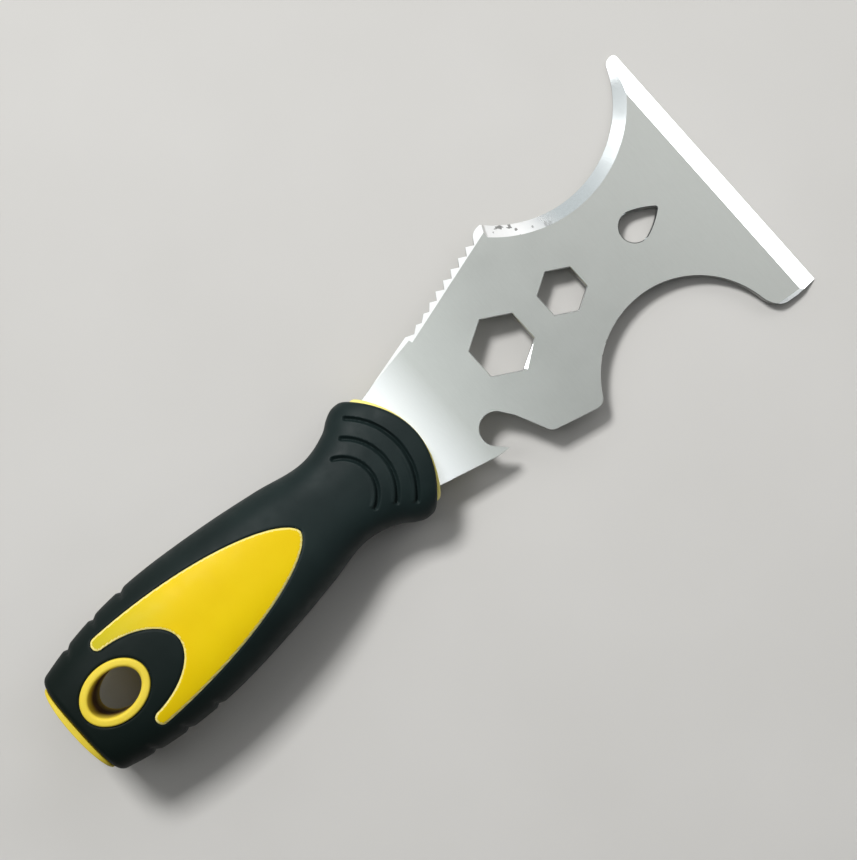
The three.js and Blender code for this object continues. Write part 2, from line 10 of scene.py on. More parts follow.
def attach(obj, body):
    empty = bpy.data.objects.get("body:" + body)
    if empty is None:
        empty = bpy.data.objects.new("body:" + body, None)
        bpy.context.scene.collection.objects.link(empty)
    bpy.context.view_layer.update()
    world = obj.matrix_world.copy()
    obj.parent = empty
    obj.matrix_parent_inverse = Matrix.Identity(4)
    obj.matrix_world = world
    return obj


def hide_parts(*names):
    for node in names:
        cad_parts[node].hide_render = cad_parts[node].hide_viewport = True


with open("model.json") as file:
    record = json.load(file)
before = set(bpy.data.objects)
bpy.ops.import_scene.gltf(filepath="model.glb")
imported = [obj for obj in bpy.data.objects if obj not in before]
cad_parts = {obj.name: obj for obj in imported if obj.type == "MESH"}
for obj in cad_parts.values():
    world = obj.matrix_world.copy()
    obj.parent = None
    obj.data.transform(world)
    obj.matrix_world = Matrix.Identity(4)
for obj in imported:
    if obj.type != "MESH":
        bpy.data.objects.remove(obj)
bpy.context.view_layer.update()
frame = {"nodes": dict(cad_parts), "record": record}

# The tool is drawn in its own frame, in millimetres, as in the CAD model: x runs from the butt to
# the scraper edge, +y is the side with the saw teeth, and z = 0 is the middle of the blade.
# MM and the tool matrix then lay it down in the row frame.

MM = 0.001
EDGE_X = 195.3
BLADE_HALF = 0.9  # half of the blade's thickness
FAR = 20.0  # half-height of cutters that pass through the whole handle or blade
PAST_NECK = 110.0  # front end of cutters that run out of the handle
BLADE_MOUNT_XY = (160.5, 4.0)


def tool_matrix():
    """Where the tool lies, from the mount on the blade's top face: its normal gives the lean."""
    mounts = {mount["name"]: mount for mount in frame["record"]["mounts"]}
    mount = mounts["blade_top_face"]
    normal = Vector(mount["axis"]).normalized()
    lean = math.atan2(normal.x, normal.z)
    turn = Matrix.Rotation(lean, 4, "Y")
    local = Vector((*BLADE_MOUNT_XY, BLADE_HALF)) * MM
    return Matrix.Translation(Vector(mount["pos_m"]) - turn @ local) @ turn


TOOL = tool_matrix()

# ---------------------------------------------------------------- handle form

GRIP_SECTIONS = np.array([  # place along the tool, half-width, half-thickness
    (3.4, 13.3, 9.4),
    (12.0, 15.3, 10.7),
    (22.0, 16.7, 11.6),
    (34.0, 17.05, 12.4),
    (52.0, 15.5, 13.1),
    (66.0, 13.45, 11.5),
    (77.5, 11.45, 9.1),
    (84.0, 13.3, 8.85),
    (88.0, 15.35, 8.95),
    (91.5, 16.45, 9.2),
    (94.0, 16.4, 9.1),
])
CURVE_STEPS = 40  # samples between two sections
TYPICAL_HALVES = (14.0, 11.0)  # section that spaces the points along the girth
HANDLE_Y, BOLSTER_Y, SHIFT_START, SHIFT_END = 0.5, 0.1, 70.0, 90.0
SQUARENESS = 2.7
GRIP_WALL = 2.5
GRIP_ROUNDS = (1.5, 0.8)
CROWN_DEPTH, CROWN_START, CROWN_END, CROWN_SPAN = 7.7, 71.0, 94.0, 16.2
GRIP_REAR, GRIP_FRONT = GRIP_SECTIONS[0][0], GRIP_SECTIONS[-1][0]

GROOVES = ((17.1, 46.0), (12.6, 49.0), (8.2, 62.0))  # radius, half angle in degrees
GROOVE_CENTRE = (79.9, 0.5)
GROOVE_WIDTH, GROOVE_DEPTH = 1.25, 0.95
RIDGE_INSIDE, RIDGE_WIDTH, RIDGE_HEIGHT, RIDGE_FADE = 1.0, 1.2, 0.24, 6.0
NOTCH_PLACES = (12.0, 20.5, 29.0)
NOTCH_WIDTH, NOTCH_DEPTH = 2.6, 0.6
NOTCH_AHEAD, NOTCH_BEHIND = 0.62, 0.38  # shares of the notch's width
FLANK_START, FLANK_FADE = 9.5, 3.0  # distance from the handle's middle where notches begin
FLANK_TOP, FLANK_TOP_FADE = 8.0, 2.5  # height where notches end

INLAY_Y, INLAY_TIP_Y = 0.9, 0.55
INLAY_TIP, INLAY_TIP_HALF, INLAY_TIP_BACK = 67.9, 5.5, 0.9
INLAY_HALF, INLAY_BELLY_X, INLAY_SWELL = 12.2, 45.5, 0.1
LEG_END, LEG_RADIUS = 18.8, 1.5
LOBE_APEX, LOBE_HALF, LOBE_REAR, LOBE_PINCH = 33.0, 4.8, 26.0, 0.5
INLAY_PROUD = 0.2
RIM_HIGHLIGHT_WIDTH = 0.38
HOLE_X, HOLE_Y, HOLE_HALF_LENGTH, HOLE_HALF_WIDTH, HOLE_RIM = 14.9, 1.15, 6.6, 4.6, 1.95
HOLE_PROUD, HOLE_STEPS = 0.5, 160
RIM_OUTER, RIM_INNER = 0.5, 0.8
SEAM = 0.14
LIP_ROUND = 0.45

CORE_REAR, CORE_FRONT, CORE_ROUNDS, CORE_GAP = 4.9, 90.2, (0.9, 0.9), 0.3
HOLLOW_REAR, HOLLOW_FRONT, HOLLOW_INSET = 31.0, 87.0, 2.7
HALVES_GAP = 0.1  # from each core half to the plane between them
TANG_ROOM_REAR, TANG_ROOM_HALF = 29.7, 8.3
COLLAR_REAR, COLLAR_FRONT, COLLAR_DEPTH, COLLAR_ROUND = 92.2, 95.5, 6.4, 0.5
COLLAR_HALVES = (15.0, 6.9)  # half-width, half-height
BUTT_REAR, BUTT_FRONT, BUTT_BULGE, BUTT_ROUND = 3.38, 3.1, 1.73, 0.25
BUTT_HALVES = (11.5, 7.8)
SPIGOT_REAR, SPIGOT_FRONT, SPIGOT_ROUND = 2.4, 4.6, 0.3
SPIGOT_HALVES = (8.5, 4.8)
NECK_HALF = 13.9
SLOT_HALF, COLLAR_SLOT_HALF = 1.2, 1.05  # half-heights of the slots round the blade


def section_curve():
    """Dense samples of the smooth curve through the grip's sections."""
    points = GRIP_SECTIONS
    first = 2 * points[0] - points[1]
    last = 2 * points[-1] - points[-2]
    knots = np.vstack([first, points, last])
    samples = []
    for i in range(1, len(knots) - 2):
        p0, p1, p2, p3 = knots[i - 1:i + 3]
        gaps = [math.sqrt(np.linalg.norm(b - a)) for a, b in ((p0, p1), (p1, p2), (p2, p3))]
        start = (p1 - p0) / gaps[0] - (p2 - p0) / (gaps[0] + gaps[1]) + (p2 - p1) / gaps[1]
        end = (p2 - p1) / gaps[1] - (p3 - p1) / (gaps[1] + gaps[2]) + (p3 - p2) / gaps[2]
        start, end = start * gaps[1], end * gaps[1]
        for t in np.linspace(0, 1, CURVE_STEPS, endpoint=False):
            cubic = (2 * t**3 - 3 * t**2 + 1) * p1 + (t**3 - 2 * t**2 + t) * start
            samples.append(cubic + (3 * t**2 - 2 * t**3) * p2 + (t**3 - t**2) * end)
    samples.append(points[-1])
    return np.array(samples)


CURVE = section_curve()


def section_at(x):
    return np.interp(x, CURVE[:, 0], CURVE[:, 1]), np.interp(x, CURVE[:, 0], CURVE[:, 2])


def smooth_step(x, start, end):
    share = np.clip((x - start) / (end - start), 0, 1)
    return share * share * (3 - 2 * share)


def crown_at(x):
    return CROWN_DEPTH * smooth_step(x, CROWN_START, CROWN_END)


def centre_y_at(x):
    """The handle's middle lies a little to the +y side, and less so at the bolster."""
    return HANDLE_Y + (BOLSTER_Y - HANDLE_Y) * smooth_step(x, SHIFT_START, SHIFT_END)


def handle_rows(rear, front, rounds, step, round_steps, fine):
    """(x, extra inset) for each ring of the handle form, with rounded ends.

    fine is (place, step) where closer rings start.
    """
    turns = np.linspace(0, math.pi / 2, round_steps + 1)[1:]
    at_rear, at_front = rounds
    first, last = rear + at_rear, front - at_front
    places = np.linspace(first, last, max(2, round((last - first) / step)) + 1)
    if fine:
        start, close = fine
        places = places[places < start]
        closer = np.linspace(start, last, round((last - start) / close) + 1)
        places = np.concatenate([places, closer])
    rows = [(rear + at_rear * (1 - math.sin(a)), at_rear * (1 - math.cos(a))) for a in turns[::-1]]
    rows += [(x, 0.0) for x in places]
    rows += [(front - at_front * (1 - math.sin(a)), at_front * (1 - math.cos(a))) for a in turns]
    return np.array(rows)


def power(value, exponent):
    return np.sign(value) * np.abs(value) ** exponent


def even_angles(half_width, half_height, sides):
    """Angles that space the points of one oblong ring evenly along its girth."""
    fine = np.linspace(0, 2 * math.pi, 4001)
    y = half_width * power(np.cos(fine), 2 / SQUARENESS)
    z = half_height * power(np.sin(fine), 2 / SQUARENESS)
    girth = np.concatenate([[0], np.cumsum(np.hypot(np.diff(y), np.diff(z)))])
    return np.interp(np.linspace(0, girth[-1], sides, endpoint=False), girth, fine)


def handle_grid(inset, rear, front, rounds, sides, step, round_steps=8, fine=None):
    """Grid of points, rows by sides, on the handle form moved inwards by inset."""
    rows = handle_rows(rear, front, rounds, step, round_steps, fine)
    angles = even_angles(*TYPICAL_HALVES, sides)
    half_width, half_height = section_at(rows[:, 0])
    half_width = half_width - inset - rows[:, 1]
    half_height = half_height - inset - rows[:, 1]
    y = half_width[:, None] * power(np.cos(angles), 2 / SQUARENESS)[None, :]
    z = half_height[:, None] * power(np.sin(angles), 2 / SQUARENESS)[None, :]
    x = rows[:, 0][:, None] + crown_at(rows[:, 0])[:, None] * (1 - (y / CROWN_SPAN) ** 2)
    return np.stack([x, centre_y_at(rows[:, 0])[:, None] + y, z], axis=-1)


def end_rings(edge, rings):
    """Rings that close an end of the handle and keep the edge's own crown."""
    centre = np.array([0.0, (edge[:, 1].max() + edge[:, 1].min()) / 2, 0.0])
    edge = edge - centre
    side = edge[np.argmax(edge[:, 1])]
    crown = (edge[:, 0].max() - side[0]) * (CROWN_SPAN / side[1]) ** 2
    flat_x = side[0] - crown * (1 - (side[1] / CROWN_SPAN) ** 2)
    found = []
    for share in np.linspace(1, 0, rings + 2)[1:-1]:
        ring = edge * share
        ring[:, 0] = flat_x + crown * (1 - (ring[:, 1] / CROWN_SPAN) ** 2)
        found.append(ring + centre)
    return found, np.array([flat_x + crown, centre[1], 0.0])


def grid_normals(grid):
    """Outward normals of a grid that closes on itself around the handle."""
    along = np.gradient(grid, axis=0)
    around = np.roll(grid, -1, axis=1) - np.roll(grid, 1, axis=1)
    normals = np.cross(around, along)
    return normals / np.linalg.norm(normals, axis=-1, keepdims=True)


# ---------------------------------------------------------------- meshes

def new_object(name, points, faces):
    mesh = bpy.data.meshes.new(name)
    points = np.asarray(points, float) * MM
    mesh.from_pydata([tuple(p) for p in points], [], [tuple(f) for f in faces])
    mesh.validate()
    obj = bpy.data.objects.new(name, mesh)
    bpy.context.scene.collection.objects.link(obj)
    return obj


def grid_faces(rows, sides):
    row, side = np.meshgrid(np.arange(rows - 1), np.arange(sides), indexing="ij")
    here = row * sides + side
    beside = row * sides + (side + 1) % sides
    quads = np.stack([here, beside, beside + sides, here + sides], axis=-1)
    return quads.reshape(-1, 4).tolist()


def capped(name, rings, rear_centre, front_centre):
    """Closed mesh through rings of equal length, drawn together in a point at each end."""
    sides = len(rings[0])
    points = np.concatenate([np.concatenate(rings), [rear_centre, front_centre]])
    faces = grid_faces(len(rings), sides)
    last_row = (len(rings) - 1) * sides
    rear, front = len(points) - 2, len(points) - 1
    for side in range(sides):
        beside = (side + 1) % sides
        faces.append((rear, beside, side))
        faces.append((front, last_row + side, last_row + beside))
    return new_object(name, points, faces)


def closed_grid(name, grid, end_ring_count=6):
    """Closed mesh from a grid of rings, its two ends filled by smaller rings."""
    rear_rings, rear_centre = end_rings(grid[0], end_ring_count)
    front_rings, front_centre = end_rings(grid[-1], end_ring_count)
    rings = rear_rings[::-1] + list(grid) + front_rings
    return capped(name, rings, rear_centre, front_centre)


def offset_outline(outline, amount):
    """Plan outline that runs anticlockwise, moved outwards by amount at every corner."""
    ahead = np.roll(outline, -1, axis=0) - outline
    ahead /= np.linalg.norm(ahead, axis=1, keepdims=True)
    behind = np.roll(ahead, 1, axis=0)
    out_ahead = np.column_stack([ahead[:, 1], -ahead[:, 0]])
    out_behind = np.column_stack([behind[:, 1], -behind[:, 0]])
    middle = out_ahead + out_behind
    stretch = 2 / np.maximum((middle**2).sum(1), 0.8)
    return outline + amount * middle * stretch[:, None]


def layered(name, outline, levels):
    """Closed solid over a plan outline; each level is (height, how far the outline moves out)."""
    outline = np.asarray(outline, float)
    count = len(outline)
    rings = []
    for height, amount in levels:
        moved = offset_outline(outline, amount) if amount else outline
        rings.append(np.column_stack([moved, np.full(count, height)]))
    last = (len(levels) - 1) * count
    faces = [tuple(range(count))[::-1], tuple(range(last, last + count))]
    faces += grid_faces(len(levels), count)
    return new_object(name, np.vstack(rings), faces)


def prism(name, outline, low, high):
    return layered(name, outline, [(low, 0), (high, 0)])


def block(name, low, high):
    outline = [(low[0], low[1]), (high[0], low[1]), (high[0], high[1]), (low[0], high[1])]
    return prism(name, outline, low[2], high[2])


def boolean(target, cutter, operation):
    """Cuts, joins or trims target by cutter, and removes the cutter."""
    modifier = target.modifiers.new("boolean", "BOOLEAN")
    modifier.solver = "MANIFOLD"
    modifier.operation = operation
    modifier.object = cutter
    bpy.context.view_layer.update()
    evaluated = target.evaluated_get(bpy.context.evaluated_depsgraph_get())
    mesh = bpy.data.meshes.new_from_object(evaluated)
    target.modifiers.clear()
    old = target.data
    target.data = mesh
    bpy.data.meshes.remove(old)
    bpy.data.objects.remove(cutter)
    if not mesh.polygons:
        raise RuntimeError(f"{target.name}: nothing left after {operation}")
    return target


def cut(target, cutter):
    return boolean(target, cutter, "DIFFERENCE")


def join(target, other):
    return boolean(target, other, "UNION")


def trim(target, other):
    return boolean(target, other, "INTERSECT")


def fix_normals(obj):
    mesh = bmesh.new()
    mesh.from_mesh(obj.data)
    bmesh.ops.recalc_face_normals(mesh, faces=mesh.faces)
    mesh.to_mesh(obj.data)
    mesh.free()


def smooth_by_angle(obj, angle):
    obj.data.shade_smooth()
    obj.data.set_sharp_from_angle(angle=math.radians(angle))


def place(obj, node):
    """Lays a finished piece down with the tool, puts it under the root body and hides the CAD part
    it stands for.
    """
    obj.data.transform(TOOL)
    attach(obj, "root")
    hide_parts(node)
    return obj


# ---------------------------------------------------------------- plan outlines on the handle

def bezier(p0, p1, p2, p3, steps):
    t = np.linspace(0, 1, steps, endpoint=False)[:, None]
    p0, p1, p2, p3 = (np.array(p, float) for p in (p0, p1, p2, p3))
    return (1 - t) ** 3 * p0 + 3 * (1 - t) ** 2 * t * p1 + 3 * (1 - t) * t**2 * p2 + t**3 * p3


def arc(x, y, radius, start, end, steps):
    """Points on a circle from start to end, in degrees, without the last one."""
    angles = np.radians(np.linspace(start, end, steps, endpoint=False))
    return np.column_stack([x + radius * np.cos(angles), y + radius * np.sin(angles)])


def inlay_outline(margin=0.0):
    """Leaf with two legs that reach back on both sides of the hang hole."""
    radius = LEG_RADIUS + margin
    outer = INLAY_HALF + margin
    inner = outer - 2 * radius
    front = (INLAY_TIP + margin, INLAY_TIP_Y)
    apex = (LOBE_APEX - margin, INLAY_Y)
    flank = INLAY_TIP_HALF + margin

    def flank_control(side):
        return INLAY_TIP + margin - INLAY_TIP_BACK, INLAY_TIP_Y + side * flank

    def at(x, y):
        return x, INLAY_Y + y

    belly = outer + INLAY_SWELL
    lobe_rear = inner - LOBE_PINCH
    upper = [
        bezier(front, flank_control(1), at(INLAY_BELLY_X, belly), at(LEG_END, outer), 90),
        arc(LEG_END, INLAY_Y + outer - radius, radius, 90, 270, 24),
        bezier(at(LEG_END, inner), at(LOBE_REAR, lobe_rear), at(apex[0], LOBE_HALF), apex, 50),
    ]
    lower = [
        bezier(apex, at(apex[0], -LOBE_HALF), at(LOBE_REAR, -lobe_rear), at(LEG_END, -inner), 50),
        arc(LEG_END, INLAY_Y + radius - outer, radius, 90, 270, 24),
        bezier(at(LEG_END, -outer), at(INLAY_BELLY_X, -belly), flank_control(-1), front, 90),
    ]
    return np.vstack(upper + lower)


def hole_ring(extra, angles):
    """Oval round the hang hole, extra wider than the hole on every side."""
    x = HOLE_X + (HOLE_HALF_LENGTH + extra) * np.cos(angles)
    return x, HOLE_Y + (HOLE_HALF_WIDTH + extra) * np.sin(angles)


def hole_angles():
    return np.linspace(0, 2 * math.pi, HOLE_STEPS, endpoint=False)


def hole_outline(extra):
    return np.column_stack(hole_ring(extra, hole_angles()))


def distance_to(outline, x, y):
    """Distance in plan from each point to a closed outline, positive outside it."""
    start = outline
    edge = np.roll(outline, -1, axis=0) - start
    length_squared = (edge**2).sum(1)
    points = np.stack([x.ravel(), y.ravel()], axis=-1)
    best = np.full(len(points), np.inf)
    inside = np.zeros(len(points), bool)
    for (sx, sy), (ex, ey), squared in zip(start, edge, length_squared):
        dx, dy = points[:, 0] - sx, points[:, 1] - sy
        share = np.clip((dx * ex + dy * ey) / squared, 0, 1)
        best = np.minimum(best, (dx - share * ex) ** 2 + (dy - share * ey) ** 2)
        crosses = (sy > points[:, 1]) != (sy + ey > points[:, 1])
        if ey != 0:
            inside ^= crosses & (points[:, 0] < sx + (points[:, 1] - sy) / ey * ex)
    signed = np.sqrt(best)
    signed[inside] *= -1
    return signed.reshape(x.shape)


def rounded_drop(distance, radius):
    """How far a surface falls as it nears an edge with that radius."""
    near = np.clip(radius - distance, 0, radius)
    return radius - np.sqrt(np.maximum(radius**2 - near**2, 0))


# ---------------------------------------------------------------- rubber grip

def groove_drop(x, y):
    """Three arcs cut into the bolster, with a low soft ridge inside each away from the teeth."""
    drop = np.zeros_like(x)
    dx, dy = x - GROOVE_CENTRE[0], y - GROOVE_CENTRE[1]
    angle = np.abs(np.arctan2(dy, dx))
    radius = np.hypot(dx, dy)
    for groove_radius, half_angle in GROOVES:
        past_end = np.maximum(angle - math.radians(half_angle), 0) * groove_radius
        off = np.hypot(radius - groove_radius, past_end) / (GROOVE_WIDTH / 2)
        drop += GROOVE_DEPTH * np.clip(1 - off**2, 0, 1) ** 1.5
        beside = np.hypot(radius - groove_radius + RIDGE_INSIDE, past_end) / (RIDGE_WIDTH / 2)
        fade = np.clip(-dy / RIDGE_FADE, 0, 1)
        drop -= RIDGE_HEIGHT * np.clip(1 - beside**2, 0, 1) ** 2 * fade
    return drop


def notch_drop(x, y, z):
    """Short finger notches across both flanks, steep on the rear side."""
    drop = np.zeros_like(x)
    on_flank = np.clip((np.abs(y - HANDLE_Y) - FLANK_START) / FLANK_FADE, 0, 1)
    fade = np.clip((FLANK_TOP - np.abs(z)) / FLANK_TOP_FADE, 0, 1)
    for place_x in NOTCH_PLACES:
        ahead = (x - place_x) / (NOTCH_WIDTH * NOTCH_AHEAD)
        behind = (place_x - x) / (NOTCH_WIDTH * NOTCH_BEHIND)
        profile = np.where(x > place_x, np.clip(1 - ahead, 0, 1), np.clip(1 - behind, 0, 1))
        drop = np.maximum(drop, NOTCH_DEPTH * profile**1.2 * on_flank * fade)
    return drop


def make_grip():
    grid = handle_grid(
        0.0, GRIP_REAR, GRIP_FRONT, GRIP_ROUNDS, sides=480, step=0.28, fine=(80.0, 0.15)
    )
    normals = grid_normals(grid)
    x, y, z = grid[..., 0], grid[..., 1], grid[..., 2]
    window = distance_to(inlay_outline(SEAM), x, y)
    eyelet = distance_to(hole_outline(HOLE_RIM + SEAM), x, y)
    lips = [rounded_drop(np.abs(distance), LIP_ROUND) for distance in (window, eyelet)]
    drop = np.maximum(np.maximum(*lips), notch_drop(x, y, z)) + groove_drop(x, y)
    grip = closed_grid("rubber_grip", grid - normals * drop[..., None])
    rear, front = CORE_REAR - CORE_GAP, COLLAR_REAR + CORE_GAP
    inner = handle_grid(GRIP_WALL, rear, front, CORE_ROUNDS, sides=72, step=2.0, round_steps=3)
    cut(grip, closed_grid("room_for_core", inner, 2))
    cut(grip, prism("window", inlay_outline(SEAM), -FAR, FAR))
    cut(grip, prism("eyelet_hole", hole_outline(HOLE_RIM + SEAM), -FAR, FAR))
    cut(grip, neck_room("blade_slot", 90.0, SLOT_HALF))
    cut(grip, collar_solid("collar_room", margin=0.1))
    cut(grip, spigot_solid("spigot_room", margin=0.15))
    smooth_by_angle(grip, 50)
    return place(grip, "grip_overmould")


def neck_room(name, rear, half_height):
    """Room round the wide part of the blade, from a place inside the handle to its front."""
    low, high = BOLSTER_Y - NECK_HALF, BOLSTER_Y + NECK_HALF
    return block(name, (rear, low, -half_height), (PAST_NECK, high, half_height))


# ---------------------------------------------------------------- yellow core

def make_core_half(name, node, side):
    """Inner body of the handle with the raised land that fills the window of the rubber."""
    grid = handle_grid(-INLAY_PROUD, GRIP_REAR, GRIP_FRONT, GRIP_ROUNDS, sides=420, step=0.28)
    normals = grid_normals(grid)
    inside_by = -distance_to(inlay_outline(), grid[..., 0], grid[..., 1])
    drop = rounded_drop(np.abs(inside_by), LIP_ROUND)
    land = closed_grid(name, grid - normals * drop[..., None])
    trim(land, prism("land_plug", inlay_outline(), -FAR, FAR))
    body = handle_grid(
        GRIP_WALL + CORE_GAP, CORE_REAR, CORE_FRONT, CORE_ROUNDS, sides=96, step=1.5, round_steps=3
    )
    join(land, closed_grid("core_body", body, 2))
    inset = GRIP_WALL + HOLLOW_INSET
    hollow = handle_grid(
        inset, HOLLOW_REAR, HOLLOW_FRONT, CORE_ROUNDS, sides=48, step=3.0, round_steps=2
    )
    cut(land, closed_grid("core_hollow", hollow, 2))
    cut(land, prism("eyelet_hole", hole_outline(HOLE_RIM + SEAM), -FAR, FAR))
    tang_room_rear = (TANG_ROOM_REAR, -TANG_ROOM_HALF, -SLOT_HALF)
    cut(land, block("tang_room", tang_room_rear, (PAST_NECK, TANG_ROOM_HALF, SLOT_HALF)))
    cut(land, neck_room("neck_room", 95.7, SLOT_HALF))
    low, high = (HALVES_GAP, FAR) if side > 0 else (-FAR, -HALVES_GAP)
    trim(land, block("half", (-1, -FAR, low), (PAST_NECK, FAR, high)))
    smooth_by_angle(land, 40)
    return place(land, node)


def make_eyelet():
    """Oval sleeve of the hang hole, with rounded rims a little proud of the rubber."""
    angles = hole_angles()
    profile = []
    for turn in np.linspace(0, math.pi / 2, 7):
        outward = HOLE_RIM - RIM_OUTER + RIM_OUTER * math.cos(turn)
        profile.append((outward, RIM_OUTER * (math.sin(turn) - 1)))
    for turn in np.linspace(math.pi / 2, math.pi, 9):
        profile.append((RIM_INNER + RIM_INNER * math.cos(turn), RIM_INNER * (math.sin(turn) - 1)))
    rings = []
    for side in (1, -1):
        for extra, fall in profile[::side]:
            x, y = hole_ring(extra, angles)
            rings.append(np.stack([x, y, side * (rim_height(x, y) + fall)], axis=-1))
        if side > 0:
            rings.append(rings[-1] * [1, 1, 0])
    rings.append(rings[0] * [1, 1, 0])
    rings = rings[::-1]
    points = np.concatenate(rings)
    faces = grid_faces(len(rings), HOLE_STEPS)
    last = (len(rings) - 1) * HOLE_STEPS
    for i in range(HOLE_STEPS):
        beside = (i + 1) % HOLE_STEPS
        faces.append((last + i, last + beside, beside, i))
    eyelet = new_object("hang_hole_eyelet", points, faces)
    smooth_by_angle(eyelet, 60)
    return place(eyelet, "hang_hole_sleeve")


def rim_height(x, y):
    """Height of the grip's outer form over a point in plan, plus the rim's stand."""
    half_width, half_height = section_at(x)
    share = np.clip(np.abs(y - HANDLE_Y) / half_width, 0, 1)
    return half_height * (1 - share**SQUARENESS) ** (1 / SQUARENESS) + HOLE_PROUD


PLATE_SIDES = 128
PLATE_FILL = (0.97, 0.8, 0.6, 0.4, 0.2)  # sizes of the rings that fill a plate's face


def plate_rim(rear, front, half_width, half_height, rear_bulge, front_bulge, radius):
    """Rings round the edge of a plate across the tool; a bulge moves its middle along x."""
    angles = even_angles(half_width, half_height, PLATE_SIDES)
    turns = np.linspace(0, math.pi / 2, 6)
    rounds = [(radius * (1 - math.sin(a)), radius * (1 - math.cos(a))) for a in turns]
    rows = [(rear + along, shrink, rear_bulge) for along, shrink in rounds[::-1]]
    rows += [(front - along, shrink, front_bulge) for along, shrink in rounds]
    rings = []
    for x, shrink, bulge in rows:
        y = (half_width - shrink) * power(np.cos(angles), 2 / SQUARENESS)
        z = (half_height - shrink) * power(np.sin(angles), 2 / SQUARENESS)
        rings.append(np.stack([x + bulge * (1 - (y / CROWN_SPAN) ** 2), y, z], axis=-1))
    return rings


def plate_face(ring, bulge):
    """Smaller and smaller rings over one face of a plate, and the point in its middle."""
    found = []
    flat = ring[:, 0] - bulge * (1 - (ring[:, 1] / CROWN_SPAN) ** 2)
    for share in PLATE_FILL:
        smaller = ring * share
        smaller[:, 0] = flat + bulge * (1 - (smaller[:, 1] / CROWN_SPAN) ** 2)
        found.append(smaller)
    return found, np.array([flat.mean() + bulge, 0, 0])


def plate(name, rear, front, halves, bulges, radius, margin=0.0):
    """Plate across the tool with rounded rims; the margin is added to its half-sizes."""
    half_width, half_height = (half + margin for half in halves)
    rim = plate_rim(rear, front, half_width, half_height, *bulges, radius)
    rear_fill, rear_centre = plate_face(rim[0], bulges[0])
    front_fill, front_centre = plate_face(rim[-1], bulges[1])
    middle = np.array([0, centre_y_at(rear), 0])
    rings = [ring + middle for ring in rear_fill[::-1] + rim + front_fill]
    return capped(name, rings, rear_centre + middle, front_centre + middle)


def collar_solid(name, margin=0.0):
    """The collar, or with a margin the room for it, which is open to the front."""
    front = COLLAR_FRONT + (FAR if margin > 0 else 0)
    bulges = (COLLAR_DEPTH, COLLAR_DEPTH)
    return plate(name, COLLAR_REAR - margin, front, COLLAR_HALVES, bulges, COLLAR_ROUND, margin)


def spigot_solid(name, margin=0.0):
    """The butt plate's spigot, or with a margin the longer room for it."""
    front = SPIGOT_FRONT + (1 if margin > 0 else 0)
    return plate(name, SPIGOT_REAR, front, SPIGOT_HALVES, (0, 0), SPIGOT_ROUND, margin)


def make_collar():
    collar = collar_solid("collar_plate")
    cut(collar, neck_room("blade_slot", 80.0, COLLAR_SLOT_HALF))
    smooth_by_angle(collar, 40)
    return place(collar, "front_collar")


def make_butt():
    butt = plate("butt_end_plate", BUTT_REAR, BUTT_FRONT, BUTT_HALVES, (-BUTT_BULGE, 0), BUTT_ROUND)
    join(butt, spigot_solid("spigot"))
    smooth_by_angle(butt, 40)
    return place(butt, "butt_plate")


# ---------------------------------------------------------------- blade

ROLLER_ARC = (165.8, 45.2, 28.5)  # centre and radius, as for the other arcs
ROLLER_SPAN = (-23, -137)  # degrees, from front to rear
ROLLER_BEVEL, ROLLER_LIP, ROLLER_BEVEL_END = 3.0, 0.35, 144.2
SMALL_ARC, SMALL_SPAN = (159.8, -34.0, 23.25), (150, 10)
OPENER_ARC, OPENER_SPAN = (116.4, -11.65, 3.95), (219, 38)
EDGE_HALF = 35.0  # half of the scraper edge's length
TIP_HEIGHT, TIP_LENGTH, TIP_ROUND = 0.8, 1.2, 0.3
TANG_REAR, TANG_HALF, TANG_CORNER, SHOULDER_X = 30, 8, 2, 96
CORNERS = {
    "neck_opener_side": (SHOULDER_X, -12.2),
    "neck_bend": (112.6, -16.6),
    "opener_rear_lip": (115.9, -16.9),
    "opener_tooth": (121.7, -12.2),
    "opener_heel": (125.1, -19.3),
    "heel_round": (125.6, -20.5),
    "flank_start": (126.9, -20.9),
    "flank_end": (136.4, -23.5),
    "flank_round": (138.6, -24.1),
    "hook_round": (183.6, -34),
    "hook_rear": (186.8, -34.7),
    "hook_front": (189.5, -EDGE_HALF),
    "tip_round": (192.6, EDGE_HALF),
    "tooth_round": (142.9, 25.9),
    "neck_teeth_side": (SHOULDER_X, 13.05),
}
FEATURE_Y = 1.8  # the line of the spanner holes and the nail puller
BIG_HEXAGON, SMALL_HEXAGON = (130.1, 13.2), (148.8, 10.1)  # place, size across the flats
PULLER_X, PULLER_RADIUS, PULLER_TOUCH = 171.4, 3.7, 70
PULLER_BELLY, PULLER_NOSE, PULLER_APEX = (175.5, 2.45), (178, 0.5), 178.8
PIN_PLACES, PIN_HOLE_RADIUS = (79.0, 48.0), 2.3
TOOTH_FIRST, TOOTH_LAST, TOOTH_COUNT = np.array([114.9, 17.7]), np.array([141.8, 24.6]), 10
TOOTH_DEPTH, GULLET_SHARE = 1.3, 0.52
TOOTH_ALONG = (TOOTH_LAST - TOOTH_FIRST) / np.linalg.norm(TOOTH_LAST - TOOTH_FIRST)
TOOTH_INWARD = np.array([TOOTH_ALONG[1], -TOOTH_ALONG[0]])
SHARP_FROM = 4  # teeth counted from the rear; the ones before this are worn
TIP_SHIFT, WEAR_SHIFT = (0.25, -0.15), (0.35, 0.6)  # along the row, inward; wear is added
TOOTH_BEVEL_REAR, TOOTH_BEVEL_FRONT = (-0.3, 2), (4, 1.4)  # past the row's end, width
FRONT_GRIND, FRONT_SLOPE = 4.5, 0.33
NECK_BEVEL, SIDE_SLOPE = ((100, 14.1), (115.7, 16.7)), 0.7
HOOK_BEVEL, HOOK_SLOPE = ((196, -34.9), (184.5, -33.5)), 0.35
EDGE_BREAK, HOLE_BREAK = 0.1, 0.18
